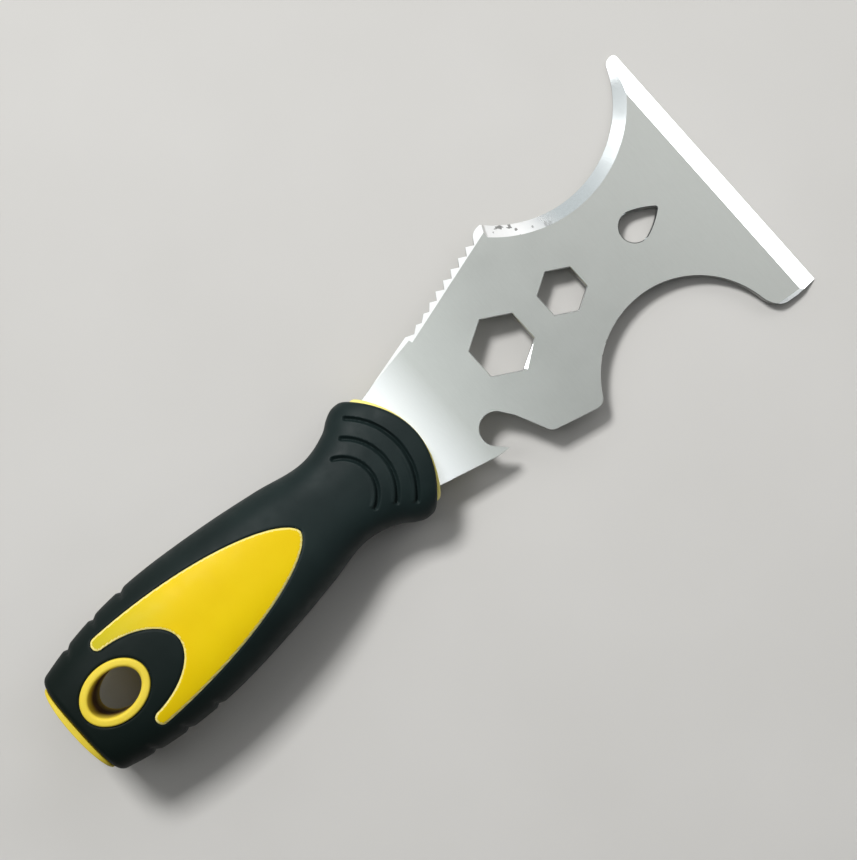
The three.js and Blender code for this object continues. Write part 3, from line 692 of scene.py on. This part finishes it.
FACET_OFFSET, FACET_TURN, FACET_SPAN = 0.45, 35.5, (-3.4, 2.8)
FACET_SLOPE, FACET_REACH = 0.3, 1.2


def tooth_points():
    """Tips from the front of the row to the rear, a gullet behind each; the rear ones are worn."""
    pitch = np.linalg.norm(TOOTH_LAST - TOOTH_FIRST) / (TOOTH_COUNT - 1)
    points = []
    for tooth in range(TOOTH_COUNT - 1, -1, -1):
        tip = TOOTH_FIRST + TOOTH_ALONG * tooth * pitch
        if 0 < tooth < TOOTH_COUNT - 1:
            wear = min(1.0, max(0.0, (SHARP_FROM - tooth) / 2))
            along, inward = (shift + worn * wear for shift, worn in zip(TIP_SHIFT, WEAR_SHIFT))
            points.append(tip + TOOTH_ALONG * along + TOOTH_INWARD * inward)
        else:
            points.append(tip)
        if tooth > 0:
            gullet = tip + TOOTH_ALONG * (GULLET_SHARE - 1) * pitch
            points.append(gullet + TOOTH_INWARD * TOOTH_DEPTH)
    return np.array(points)


def on_arc(circle, degrees):
    angle = math.radians(degrees)
    return circle[0] + circle[2] * math.cos(angle), circle[1] + circle[2] * math.sin(angle)


def quadratic(p0, p1, p2, steps=8):
    t = np.linspace(0, 1, steps, endpoint=False)[:, None]
    p0, p1, p2 = (np.array(p, float) for p in (p0, p1, p2))
    return (1 - t) ** 2 * p0 + 2 * (1 - t) * t * p1 + t**2 * p2


def blade_outline():
    """Anticlockwise, from the rear of the tang along the opener's side and back along the teeth."""
    corner = CORNERS
    tip_start, tip_turn = (EDGE_X, EDGE_HALF - TIP_HEIGHT), (EDGE_X - TIP_ROUND, EDGE_HALF)
    tip_end = (EDGE_X - TIP_LENGTH, EDGE_HALF)
    opener_end, roller_end = on_arc(OPENER_ARC, OPENER_SPAN[1]), on_arc(ROLLER_ARC, ROLLER_SPAN[1])
    small_start, small_end = (on_arc(SMALL_ARC, angle) for angle in SMALL_SPAN)
    straight = TANG_REAR + TANG_CORNER, TANG_HALF - TANG_CORNER
    pieces = [
        [(straight[0], -TANG_HALF), (SHOULDER_X, -TANG_HALF)],
        [corner["neck_opener_side"], corner["neck_bend"], corner["opener_rear_lip"]],
        arc(*OPENER_ARC, *OPENER_SPAN, 40),
        [opener_end, corner["opener_tooth"]],
        quadratic(corner["opener_heel"], corner["heel_round"], corner["flank_start"]),
        [corner["flank_start"]],
        quadratic(corner["flank_end"], corner["flank_round"], small_start),
        arc(*SMALL_ARC, *SMALL_SPAN, 110),
        quadratic(small_end, corner["hook_round"], corner["hook_rear"], 12),
        [corner["hook_rear"], corner["hook_front"], (EDGE_X, -EDGE_HALF)],
        quadratic(tip_start, tip_turn, tip_end),
        quadratic(tip_end, corner["tip_round"], on_arc(ROLLER_ARC, ROLLER_SPAN[0])),
        arc(*ROLLER_ARC, *ROLLER_SPAN, 130),
        quadratic(roller_end, corner["tooth_round"], TOOTH_LAST, 10),
        tooth_points(),
        [corner["neck_teeth_side"], (SHOULDER_X, TANG_HALF)],
        quadratic((straight[0], TANG_HALF), (TANG_REAR, TANG_HALF), (TANG_REAR, straight[1])),
        quadratic((TANG_REAR, -straight[1]), (TANG_REAR, -TANG_HALF), (straight[0], -TANG_HALF)),
    ]
    return np.vstack([np.asarray(piece, float) for piece in pieces])


def hexagon(x, across_flats):
    corner = across_flats / math.sqrt(3)
    angles = np.radians(90 + 60 * np.arange(6))
    return np.column_stack([x + corner * np.cos(angles), FEATURE_Y + corner * np.sin(angles)])


def nail_puller_outline():
    """Round hole drawn out to a point at the front, with bowed flanks."""
    circle = (PULLER_X, FEATURE_Y, PULLER_RADIUS)
    rear_span = (PULLER_TOUCH, 360 - PULLER_TOUCH)
    upper_touch, lower_touch = (on_arc(circle, angle) for angle in rear_span)
    (lower_belly, upper_belly), (lower_nose, upper_nose) = (
        [(x, FEATURE_Y - out), (x, FEATURE_Y + out)] for x, out in (PULLER_BELLY, PULLER_NOSE)
    )
    return np.vstack([
        arc(*circle, *rear_span, 48),
        quadratic(lower_touch, lower_belly, lower_nose, 10),
        quadratic(lower_nose, (PULLER_APEX, FEATURE_Y), upper_nose, 6),
        quadratic(upper_nose, upper_belly, upper_touch, 10),
    ])


def bar(name, first, last):
    """Straight bar between two ends whose corners are listed in the same order."""
    count = len(first)
    faces = [tuple(range(count)), tuple(range(2 * count))[:count - 1:-1]]
    faces += [(i + count, (i + 1) % count + count, (i + 1) % count, i) for i in range(count)]
    obj = new_object(name, [*first, *last], faces)
    fix_normals(obj)
    return obj


def wedge(name, start, end, slope, reach=6.0):
    """Straight grinding cut: it starts on the line and falls away to the left of its direction."""
    start, end = np.array(start, float), np.array(end, float)
    along = (end - start) / np.linalg.norm(end - start)
    left = np.array([-along[1], along[0]])
    profile = [(-1 / slope, 1.0), (reach, -slope * reach), (reach, 1.0)]
    ends = [[(*(xy + left * out), BLADE_HALF + up) for out, up in profile] for xy in (start, end)]
    return bar(name, *ends)


def cone(name, x, y, ends, sides=360):
    """Cone or cylinder on a vertical axis; each end is (height, radius)."""
    angles = np.linspace(0, 2 * math.pi, sides, endpoint=False)
    rings = []
    for z, radius in ends:
        circle = (x + radius * np.cos(angles), y + radius * np.sin(angles), np.full(sides, z))
        rings.append(np.column_stack(circle))
    faces = grid_faces(2, sides)
    faces += [tuple(range(sides))[::-1], tuple(range(sides, 2 * sides))]
    obj = new_object(name, np.concatenate(rings), faces)
    fix_normals(obj)
    return obj


def arc_grind():
    """Cone that bevels the roller arc, ended by a slope before it reaches the teeth."""
    x, y, radius = ROLLER_ARC
    flare = ROLLER_BEVEL / (2 * BLADE_HALF - ROLLER_LIP)
    lip_z = -BLADE_HALF + ROLLER_LIP
    heights = (-BLADE_HALF - 0.5, BLADE_HALF + 1)
    grind = cone("arc_grind", x, y, [(z, radius + flare * (z - lip_z)) for z in heights])
    above, below, rear = 3, 6, 100.0
    top, bottom = above + BLADE_HALF, BLADE_HALF - below
    slanted = [(ROLLER_BEVEL_END - above, top), (ROLLER_BEVEL_END + below, bottom)]
    profile = [*slanted, (rear, bottom), (rear, top)]
    ends = [[(px, py, pz) for px, pz in profile] for py in (-5.0, 90.0)]
    return cut(grind, bar("arc_grind_end", *ends))


def hexagon_facet():
    """Worn spot beside one corner of the larger hexagonal hole."""
    x, across_flats = BIG_HEXAGON
    corner = Vector((x, FEATURE_Y)) + Vector(on_arc((0, 0, across_flats / 2 + FACET_OFFSET), -60))
    slant = Vector(on_arc((0, 0, 1.0), FACET_TURN))
    start, end = (corner + slant * reach for reach in FACET_SPAN)
    return wedge("hexagon_facet", start, end, FACET_SLOPE, FACET_REACH)


def tooth_bevel_end(tooth, past_and_width):
    past, width = past_and_width
    return tooth + past * TOOTH_ALONG + width * TOOTH_INWARD


def make_blade():
    top, rim = BLADE_HALF, BLADE_HALF - EDGE_BREAK
    edges = [(-top, -EDGE_BREAK), (-rim, 0), (rim, 0), (top, -EDGE_BREAK)]
    blade = layered("steel_blade", blade_outline(), edges)
    outer, inner = (top + 1, 1 + HOLE_BREAK), (top - HOLE_BREAK, 0)
    flared = [(-outer[0], outer[1]), (-inner[0], 0), inner, outer]
    for outline in (hexagon(*BIG_HEXAGON), hexagon(*SMALL_HEXAGON), nail_puller_outline()):
        cut(blade, layered("hole", outline, flared))
    for x in PIN_PLACES:
        cut(blade, prism("pin_hole", arc(x, 0, PIN_HOLE_RADIUS, 0, 360, 48), -FAR, FAR))
    front = EDGE_X - FRONT_GRIND
    cut(blade, wedge("front_grind", (front, 70), (front, -70), FRONT_SLOPE))
    cut(blade, arc_grind())
    rear_end = tooth_bevel_end(TOOTH_FIRST, TOOTH_BEVEL_REAR)
    front_end = tooth_bevel_end(TOOTH_LAST, TOOTH_BEVEL_FRONT)
    cut(blade, wedge("tooth_grind", rear_end, front_end, SIDE_SLOPE))
    cut(blade, wedge("neck_grind", *NECK_BEVEL, SIDE_SLOPE))
    cut(blade, hexagon_facet())
    cut(blade, wedge("hook_grind", *HOOK_BEVEL, HOOK_SLOPE))
    return blade


# ---------------------------------------------------------------- materials

def new_material(name):
    material = bpy.data.materials.new(name)
    material.use_nodes = True
    tree = material.node_tree
    tree.nodes.clear()
    output = tree.nodes.new("ShaderNodeOutputMaterial")
    shader = tree.nodes.new("ShaderNodeBsdfPrincipled")
    tree.links.new(shader.outputs[0], output.inputs[0])
    return material, tree, shader


def noise(tree, size_mm, detail=3.0, stretch=(1, 1, 1), turn=0.0, roughness=0.5):
    """Noise whose blobs are about size_mm across, drawn out along the tool by stretch."""
    coords = tree.nodes.new("ShaderNodeTexCoord")
    mapping = tree.nodes.new("ShaderNodeMapping")
    mapping.inputs["Scale"].default_value = [1 / part for part in stretch]
    mapping.inputs["Rotation"].default_value = (0, 0, turn)
    texture = tree.nodes.new("ShaderNodeTexNoise")
    texture.inputs["Scale"].default_value = 1 / (size_mm * MM)
    texture.inputs["Detail"].default_value = detail
    texture.inputs["Roughness"].default_value = roughness
    tree.links.new(coords.outputs["Object"], mapping.inputs["Vector"])
    tree.links.new(mapping.outputs["Vector"], texture.inputs["Vector"])
    return texture.outputs["Fac"]


def between(tree, value, low, high, start=0.3, end=0.7):
    """Value carried from start..end to low..high, held inside that range."""
    scale = tree.nodes.new("ShaderNodeMapRange")
    scale.inputs["From Min"].default_value = start
    scale.inputs["From Max"].default_value = end
    scale.inputs["To Min"].default_value = low
    scale.inputs["To Max"].default_value = high
    tree.links.new(value, scale.inputs["Value"])
    return scale.outputs["Result"]


def mixed(tree, factor, low, high):
    """Colour between two others; each is a colour or an output."""
    mix = tree.nodes.new("ShaderNodeMix")
    mix.data_type = "RGBA"
    tree.links.new(factor, mix.inputs["Factor"])
    for socket, colour in ((6, low), (7, high)):  # the node's A and B when it mixes colours
        if isinstance(colour, bpy.types.NodeSocket):
            tree.links.new(colour, mix.inputs[socket])
        else:
            mix.inputs[socket].default_value = (*colour, 1)
    return mix.outputs[2]


def product(tree, first, second):
    node = tree.nodes.new("ShaderNodeMath")
    node.operation = "MULTIPLY"
    tree.links.new(first, node.inputs[0])
    tree.links.new(second, node.inputs[1])
    return node.outputs[0]


def bumped(tree, shader, layers):
    """Stacks bump layers: (height output, depth in millimetres)."""
    normal = None
    for height, depth in layers:
        bump = tree.nodes.new("ShaderNodeBump")
        bump.inputs["Distance"].default_value = depth * MM
        bump.inputs["Strength"].default_value = 1.0
        tree.links.new(height, bump.inputs["Height"])
        if normal is not None:
            tree.links.new(normal, bump.inputs["Normal"])
        normal = bump.outputs["Normal"]
    tree.links.new(normal, shader.inputs["Normal"])


def coordinate(tree, axis):
    coords = tree.nodes.new("ShaderNodeTexCoord")
    parts = tree.nodes.new("ShaderNodeSeparateXYZ")
    tree.links.new(coords.outputs["Object"], parts.inputs[0])
    return parts.outputs[axis]


def along_tool(tree, start, end):
    """0 to 1 between two places along the tool, held outside them."""
    low, high = ((TOOL @ Vector((x * MM, 0, 0))).x for x in (start, end))
    return between(tree, coordinate(tree, "X"), 0, 1, low, high)


def across_tool(tree, start, end):
    """0 to 1 between two places across the tool, held outside them."""
    return between(tree, coordinate(tree, "Y"), 0, 1, start * MM, end * MM)


HOLE_SHADE_START, HOLE_SHADE_END = 10.9 * MM, 2.0 * MM  # heights from the hole's middle


def hole_painted_shade(tree):
    """0 at both rims of the hang hole, 1 deep inside it, where painted shade darkens the wall."""
    middle = (TOOL @ Vector((HOLE_X * MM, 0, 0))).z
    ramps = []
    for side in (-1, 1):
        start, end = middle + side * HOLE_SHADE_START, middle + side * HOLE_SHADE_END
        ramps.append(between(tree, coordinate(tree, "Z"), 0, 1, start, end))
    return product(tree, *ramps)


def rubber_material():
    material, tree, shader = new_material("soft_black_rubber")
    patches = between(tree, noise(tree, 9, 4), 0, 1)
    # Painted shade: the colour darkens towards the butt, where the rubber turns away from the
    # light. The same ramp also raises the specular level towards the front.
    forward = along_tool(tree, 5, 70)
    colour = mixed(tree, patches, (0.0075, 0.0145, 0.0145), (0.0105, 0.0195, 0.019))
    colour = mixed(tree, forward, (0.0045, 0.0085, 0.007), colour)
    tree.links.new(colour, shader.inputs["Base Color"])
    tree.links.new(between(tree, noise(tree, 3, 4), 0.5, 0.62), shader.inputs["Roughness"])
    tree.links.new(between(tree, forward, 0.09, 0.16, 0, 1), shader.inputs["Specular IOR Level"])
    bumped(tree, shader, [(noise(tree, 4, 2), 0.05), (noise(tree, 0.35, 2), 0.012)])
    return material


def upper_leg_painted_shade(tree):
    """1 at the end of the inlay's leg on the saw-tooth side, where painted shade darkens the
    yellow.
    """
    return product(tree, along_tool(tree, 40, 20), across_tool(tree, 3, 9))


def plastic_material(name, low, high, shade=None):
    """Hard plastic; shade gives a painted shade colour that takes over where its factor is 1."""
    material, tree, shader = new_material(name)
    patches = between(tree, noise(tree, 14, 3), 0, 1)
    colour = mixed(tree, patches, low, high)
    if shade:
        factor, shade_colour = shade
        colour = mixed(tree, factor(tree), colour, shade_colour)
    tree.links.new(colour, shader.inputs["Base Color"])
    tree.links.new(between(tree, noise(tree, 2.5, 4), 0.42, 0.56), shader.inputs["Roughness"])
    shader.inputs["Specular IOR Level"].default_value = 0.12
    shader.inputs["Subsurface Weight"].default_value = 0.08
    shader.inputs["Subsurface Radius"].default_value = (1.0, 0.6, 0.1)
    shader.inputs["Subsurface Scale"].default_value = 1.2 * MM
    bumped(tree, shader, [(noise(tree, 6, 2), 0.03), (noise(tree, 0.25, 2), 0.006)])
    return material


WORN_SPAN = (161, 151)  # where the roller arc's bevel turns from bright to worn
NECK_HIGHLIGHT_SPAN = (112, 99)
GROUND_COLOURS = ((0.74, 0.77, 0.77), (0.84, 0.87, 0.87))


def steel_material(name, colours, roughness, size, stretch, depth, turn=0.0, neck=False):
    """Ground or satin steel; size, stretch, turn and depth are those of its grinding lines. With
    neck, a painted highlight turns the colour nearly white towards the neck.
    """
    material, tree, shader = new_material(name)
    dark, bright = colours
    lines = noise(tree, size, 5, stretch, turn, 0.6)
    clouds = noise(tree, 7, 3)
    colour = mixed(tree, between(tree, lines, 0, 1, 0.1, 0.9), dark, bright)
    colour = mixed(tree, between(tree, clouds, 0, 0.5, 0.1, 0.9), colour, bright)
    # Painted highlight: the steel turns nearly white towards the neck.
    if neck:
        colour = mixed(tree, along_tool(tree, *NECK_HIGHLIGHT_SPAN), colour, (0.97, 0.99, 0.99))
    tree.links.new(colour, shader.inputs["Base Color"])
    shader.inputs["Metallic"].default_value = 1.0
    tree.links.new(between(tree, clouds, *roughness, 0.1, 0.9), shader.inputs["Roughness"])
    bumped(tree, shader, [(lines, depth)])
    return material


def worn_steel_material():
    """Ground steel of the roller arc, matte, pale and nicked at its end by the teeth."""
    material, tree, shader = new_material("worn_ground_steel")
    worn = along_tool(tree, *WORN_SPAN)
    lines = noise(tree, 0.12, 5, (7, 1, 1), 0.1, 0.6)
    colour = mixed(tree, between(tree, lines, 0, 1), *GROUND_COLOURS)
    colour = mixed(tree, worn, colour, (0.96, 0.96, 0.95))
    nicks = between(tree, noise(tree, 1.9, 2, (1, 1.5, 1)), 0, 1, 0.615, 0.645)
    colour = mixed(tree, product(tree, nicks, worn), colour, (0.3, 0.3, 0.29))
    tree.links.new(colour, shader.inputs["Base Color"])
    shader.inputs["Metallic"].default_value = 1.0
    tree.links.new(between(tree, worn, 0.14, 0.42, 0, 1), shader.inputs["Roughness"])
    bumped(tree, shader, [(lines, 0.002)])
    return material


SATIN, GROUND, MATTE, SHEARED_SHADED, WORN = range(5)


def blade_materials():
    """The blade's finishes, in the order of their slots."""
    return [
        steel_material(
            "satin_steel", ((0.545, 0.565, 0.535), (0.6, 0.62, 0.59)), (0.3, 0.34),
            # neck=True paints a highlight on the neck.
            size=0.3, stretch=(1, 9, 1), depth=0.0004, neck=True,
        ),
        steel_material(
            "ground_steel", GROUND_COLOURS, (0.12, 0.16),
            size=0.12, stretch=(7, 1, 1), depth=0.002, turn=0.1,
        ),
        steel_material(
            "matte_ground_steel", ((0.86, 0.87, 0.86), (0.95, 0.96, 0.95)), (0.42, 0.5),
            size=0.15, stretch=(3, 1, 1), depth=0.004, turn=0.8,
        ),
        # Dark grey of the sheared walls: partly the duller sheared steel, partly painted shade on
        # the hole and edge walls.
        steel_material(
            "sheared_steel_painted_shade", ((0.2, 0.2, 0.19), (0.34, 0.34, 0.33)), (0.32, 0.45),
            size=0.15, stretch=(1, 1, 6), depth=0.01,
        ),
        worn_steel_material(),
    ]


ARC_GROUND_START, ARC_GROUND_END = 144.2, 170.0
FLAT_FROM, SLANTED_FROM = 0.995, 0.25  # how far a face looks up or down


def paint_blade(blade):
    """Gives each face its finish from the way it looks and where it lies along the tool."""
    blade.data.materials.clear()  # the cuts leave an empty slot
    for material in blade_materials():
        blade.data.materials.append(material)
    for face in blade.data.polygons:
        up = abs(face.normal.z)
        x = face.center.x / MM
        bevel = MATTE if x < ARC_GROUND_START else WORN if x < ARC_GROUND_END else GROUND
        face.material_index = SATIN if up > FLAT_FROM else bevel if up > SLANTED_FROM else SHEARED_SHADED


def floor_material():
    material, tree, shader = new_material("pale_floor")
    patches = between(tree, noise(tree, 60, 3), 0, 1)
    colour = mixed(tree, patches, (0.565, 0.553, 0.53), (0.59, 0.578, 0.556))
    tree.links.new(colour, shader.inputs["Base Color"])
    shader.inputs["Roughness"].default_value = 0.85
    shader.inputs["Specular IOR Level"].default_value = 0.2
    return material


# ---------------------------------------------------------------- stage

CAMERA_OVER = 104.7  # place along the tool that the camera stands above
CAMERA_Y, CAMERA_HEIGHT, CAMERA_TURN = -1.6, 400.0, -41.7
HALF_VIEW = 99.9  # half of the floor's width in the view


def make_camera():
    data = bpy.data.cameras.new("camera")
    data.sensor_width = 36.0
    data.lens = data.sensor_width / 2 * CAMERA_HEIGHT / HALF_VIEW
    data.clip_start, data.clip_end = 0.01, 20.0
    camera = bpy.data.objects.new("camera", data)
    x = (TOOL @ Vector((CAMERA_OVER * MM, 0, 0))).x / MM
    camera.location = Vector((x, CAMERA_Y, CAMERA_HEIGHT)) * MM
    camera.rotation_euler = (0, 0, math.radians(CAMERA_TURN))
    bpy.context.scene.collection.objects.link(camera)
    bpy.context.scene.camera = camera


def make_floor():
    """Plain flat floor that reaches far outside the view."""
    half = 3000.0
    corners = [(-half, -half, 0), (half, -half, 0), (half, half, 0), (-half, half, 0)]
    floor = new_object("floor", corners, [(0, 1, 2, 3)])
    floor.data.materials.append(floor_material())


COOL, COOLER = (0.95, 0.99, 1.0), (0.93, 0.98, 1.0)


def panel(name, radiance, size, location, colour=(1, 1, 1), target=(0, 0, 0)):
    """Soft box in metres that faces its target, set by how bright its face looks."""
    data = bpy.data.lights.new(name, "AREA")
    data.energy = radiance * math.pi * size[0] * size[1]
    data.shape = "RECTANGLE"
    data.size, data.size_y = size
    data.color = colour
    lamp = bpy.data.objects.new(name, data)
    lamp.location = location
    lamp.rotation_euler = (Vector(target) - Vector(location)).to_track_quat("-Z", "Y").to_euler()
    bpy.context.scene.collection.objects.link(lamp)


def make_lights():
    """One small bright key casts the shadows; the other panels are mirrored in the steel."""
    panel("key", 68.0, (0.3, 0.3), (0.1, 0.85, 1.2))
    panel("neck", 2.6, (0.08, 0.18), (0.055, 0.015, 0.5), COOL, target=(0.055, 0.015, 0.0))
    panel("ceiling", 1.18, (0.34, 0.6), (0.56, -0.02, 0.99), target=(0.56, 0.0, 0.0))
    panel("side", 0.62, (1.3, 0.6), (0.25, 1.3, 0.75), COOLER, target=(0.1, 0.0, 0.1))
    panel("left", 0.58, (0.62, 0.54), (-0.15, 0.62, 0.88), COOL)
    panel("tip", 2.6, (0.3, 0.3), (-0.37, 0.41, 1.0))
    panel("arc", 2.0, (0.5, 0.45), (0.8, 0.6, 0.72))
    panel("low", 1.3, (0.3, 0.3), (0.5, -0.66, 0.8))
    panel("edge", 3.0, (0.45, 0.32), (1.03, 0.0, 0.62))
    world = bpy.data.worlds.new("studio")
    world.use_nodes = True
    background = world.node_tree.nodes["Background"]
    background.inputs["Color"].default_value = (0.92, 0.97, 1.0, 1)
    background.inputs["Strength"].default_value = 0.06
    bpy.context.scene.world = world
    bpy.context.scene.view_settings.view_transform = "Standard"


# ---------------------------------------------------------------- assembly

make_camera()
RUBBER = rubber_material()
YELLOW = plastic_material(
    "yellow_hard_plastic", (0.74, 0.515, 0.002), (0.78, 0.565, 0.004),
    # Painted shade darkens the core's yellow at the end of its upper leg.
    shade=(upper_leg_painted_shade, (0.5, 0.42, 0.012)),
)
EYELET_YELLOW = plastic_material(
    "eyelet_yellow", (0.72, 0.55, 0.04), (0.78, 0.61, 0.07),
    # Painted shade darkens the eyelet's wall deep inside the hang hole.
    shade=(hole_painted_shade, (0.1, 0.04, 0.001)),
)
DULL_YELLOW = plastic_material("dull_yellow_plastic", (0.68, 0.52, 0.04), (0.76, 0.6, 0.07))
# Paler cream yellow for the collar; part of this paleness is painted light that brightens its
# shaded lower side.
COLLAR_YELLOW = plastic_material("collar_yellow", (0.88, 0.76, 0.2), (0.93, 0.83, 0.3))
# Paler yellow for a painted highlight along the inlay's edge.
RIM_HIGHLIGHT_YELLOW = plastic_material("yellow_rim_painted_highlight", (0.8, 0.67, 0.18), (0.85, 0.73, 0.27))


def finish_piece(obj, material):
    obj.data.materials.clear()
    obj.data.materials.append(material)


def paint_rim_highlight(obj):
    """Paints a highlight in paler yellow along the moulded edge of the inlay."""
    obj.data.materials.append(RIM_HIGHLIGHT_YELLOW)
    back = TOOL.inverted()
    centres = np.array([back @ face.center for face in obj.data.polygons]) / MM
    inside_by = -distance_to(inlay_outline(), centres[:, 0], centres[:, 1])
    in_rim_highlight = np.abs(inside_by) < RIM_HIGHLIGHT_WIDTH
    for face, rim in zip(obj.data.polygons, in_rim_highlight):
        face.material_index = int(rim)


finish_piece(make_grip(), RUBBER)
for core_half in (
    make_core_half("yellow_core_top", "core_top_half", 1),
    make_core_half("yellow_core_bottom", "core_bottom_half", -1),
):
    finish_piece(core_half, YELLOW)
    paint_rim_highlight(core_half)
finish_piece(make_eyelet(), EYELET_YELLOW)
finish_piece(make_collar(), COLLAR_YELLOW)
finish_piece(make_butt(), DULL_YELLOW)

blade = make_blade()
paint_blade(blade)
smooth_by_angle(blade, 8)
place(blade, "blade")

PIN_STEEL = steel_material(
    "pin_steel", ((0.4, 0.4, 0.39), (0.6, 0.6, 0.58)), (0.3, 0.42),
    size=0.1, stretch=(1, 1, 5), depth=0.004,
)
for pin in ("tang_pin_front", "tang_pin_rear"):
    finish_piece(frame["nodes"][pin], PIN_STEEL)

make_floor()
make_lights()
